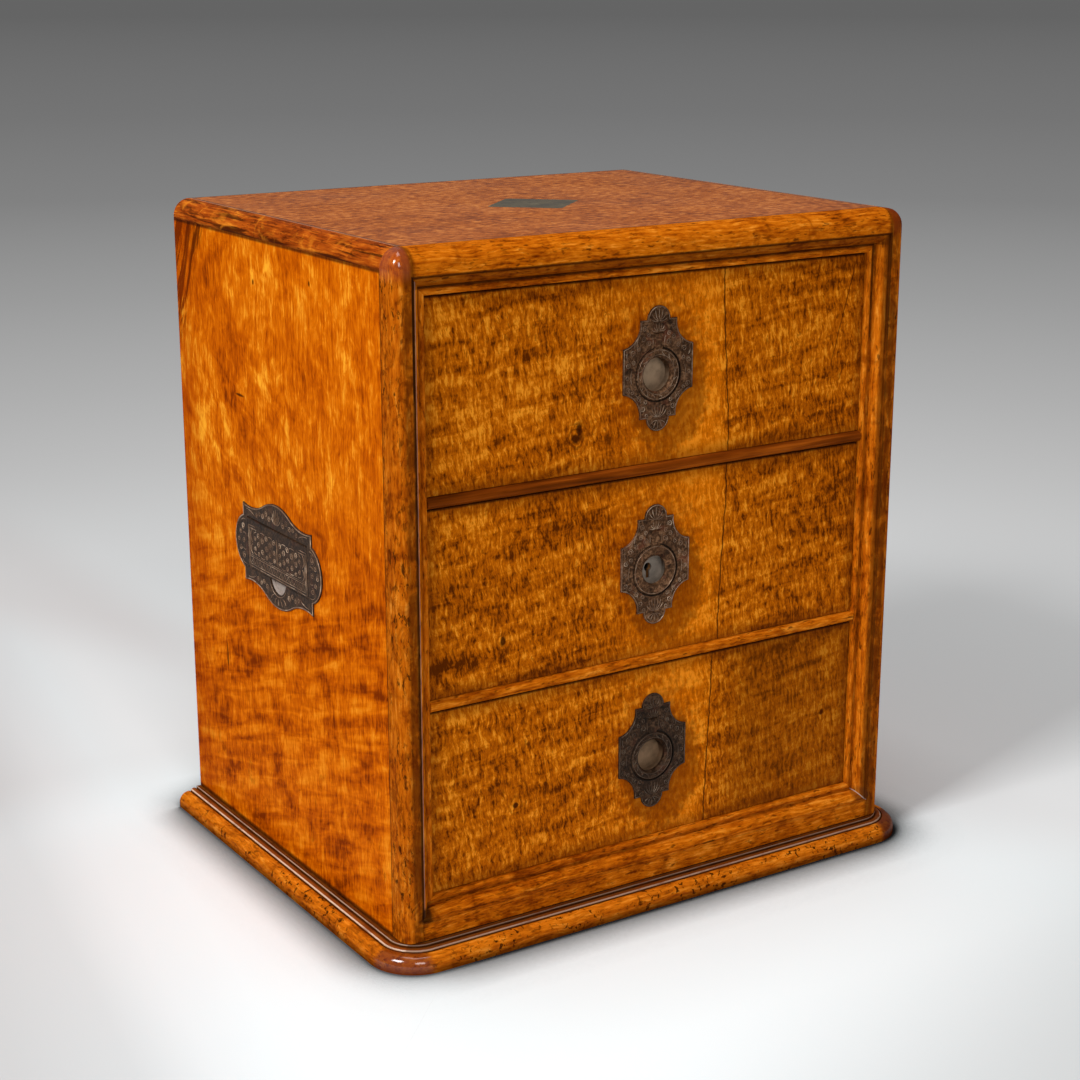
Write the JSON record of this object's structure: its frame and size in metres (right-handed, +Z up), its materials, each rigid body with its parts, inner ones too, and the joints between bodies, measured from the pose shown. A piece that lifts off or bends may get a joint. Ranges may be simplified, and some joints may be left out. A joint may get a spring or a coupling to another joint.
{
  "type": "desktop collectors cabinet",
  "caption": "Desktop collectors cabinet in figured wood with moulded frame and plinth, sliding drawers, flush ring pulls, a drawer lock and hinged lifting handles.",
  "frame": {"origin": "on the table under the middle of the case", "axes": "+Z up, front faces -Y, +X to the right of someone facing the front"},
  "size_m": [0.3604, 0.2807, 0.38],
  "materials": {
    "figured_wood": "french polished, figured golden orange",
    "drawer_veneer": "french polished rippled veneer",
    "top_veneer": "french polished, reddish brown",
    "dark_bead": "polished, dark red brown",
    "secondary_wood": "plain, oiled",
    "patinated_brass": "engraved, dark patina, worn edges",
    "steel": "worn bright steel"
  },
  "bodies": {
    "case": {"base_plinth": "figured_wood", "bottom_board": "secondary_wood", "left_side_board": "figured_wood", "right_side_board": "figured_wood", "back_panel": "secondary_wood", "top_board": "top_veneer", "top_left_edging": "figured_wood", "top_right_edging": "figured_wood", "top_plaque": "patinated_brass", "left_corner_post": "figured_wood", "right_corner_post": "figured_wood", "top_front_rail": "figured_wood", "bottom_front_rail": "figured_wood", "top_frame_moulding": "figured_wood", "bottom_frame_moulding": "figured_wood", "left_frame_moulding": "figured_wood", "right_frame_moulding": "figured_wood", "upper_divider": "dark_bead", "lower_divider": "figured_wood", "upper_dustboard": "secondary_wood", "lower_dustboard": "secondary_wood", "drawer_guides": "secondary_wood", "drawer_runners": "secondary_wood", "drawer_kickers": "secondary_wood", "drawer_stops": "secondary_wood", "left_handle_plate": "patinated_brass", "left_handle_pin": "steel", "right_handle_plate": "patinated_brass", "right_handle_pin": "steel"},
    "upper_drawer": {"upper_drawer_front": "drawer_veneer", "upper_drawer_left_side": "secondary_wood", "upper_drawer_right_side": "secondary_wood", "upper_drawer_back": "secondary_wood", "upper_drawer_bottom": "secondary_wood", "upper_pull_plate": "patinated_brass", "upper_pull_pin": "steel"},
    "upper_ring": {"upper_pull_ring": "patinated_brass"},
    "middle_drawer": {"middle_drawer_front": "drawer_veneer", "middle_drawer_left_side": "secondary_wood", "middle_drawer_right_side": "secondary_wood", "middle_drawer_back": "secondary_wood", "middle_drawer_bottom": "secondary_wood", "middle_pull_plate": "patinated_brass", "middle_pull_pin": "steel", "lock_case": "steel", "lock_cap": "steel", "lock_key_post": "steel"},
    "middle_ring": {"middle_pull_ring": "patinated_brass"},
    "lower_drawer": {"lower_drawer_front": "drawer_veneer", "lower_drawer_left_side": "secondary_wood", "lower_drawer_right_side": "secondary_wood", "lower_drawer_back": "secondary_wood", "lower_drawer_bottom": "secondary_wood", "lower_pull_plate": "patinated_brass", "lower_pull_pin": "steel"},
    "lower_ring": {"lower_pull_ring": "patinated_brass"},
    "left_flap": {"left_handle_flap": "patinated_brass"},
    "right_flap": {"right_handle_flap": "patinated_brass"},
    "lock_bolt": {"lock_bolt": "patinated_brass"}
  },
  "joints": [
    {"name": "upper_drawer_slide", "type": "slide", "parent": "case", "child": "upper_drawer", "axis": [0, -1, 0], "range_m": [0, 0.19]},
    {"name": "middle_drawer_slide", "type": "slide", "parent": "case", "child": "middle_drawer", "axis": [0, -1, 0], "range_m": [0, 0.19]},
    {"name": "lower_drawer_slide", "type": "slide", "parent": "case", "child": "lower_drawer", "axis": [0, -1, 0], "range_m": [0, 0.19]},
    {"name": "upper_ring_hinge", "type": "hinge", "parent": "upper_drawer", "child": "upper_ring", "pos_m": [0, -0.12295, 0.32175], "axis": [-1, 0, 0], "range_deg": [0, 90]},
    {"name": "middle_ring_hinge", "type": "hinge", "parent": "middle_drawer", "child": "middle_ring", "pos_m": [0, -0.12295, 0.21225], "axis": [-1, 0, 0], "range_deg": [0, 90]},
    {"name": "lower_ring_hinge", "type": "hinge", "parent": "lower_drawer", "child": "lower_ring", "pos_m": [0, -0.12295, 0.10275], "axis": [-1, 0, 0], "range_deg": [0, 90]},
    {"name": "left_flap_hinge", "type": "hinge", "parent": "case", "child": "left_flap", "pos_m": [-0.16525, 0.007, 0.20665], "axis": [0, 1, 0], "range_deg": [0, 90]},
    {"name": "right_flap_hinge", "type": "hinge", "parent": "case", "child": "right_flap", "pos_m": [0.16525, 0.007, 0.20665], "axis": [0, -1, 0], "range_deg": [0, 90]},
    {"name": "lock_bolt_slide", "type": "slide", "parent": "middle_drawer", "child": "lock_bolt", "axis": [0, 0, 1], "range_m": [0, 0.0055]}
  ]
}
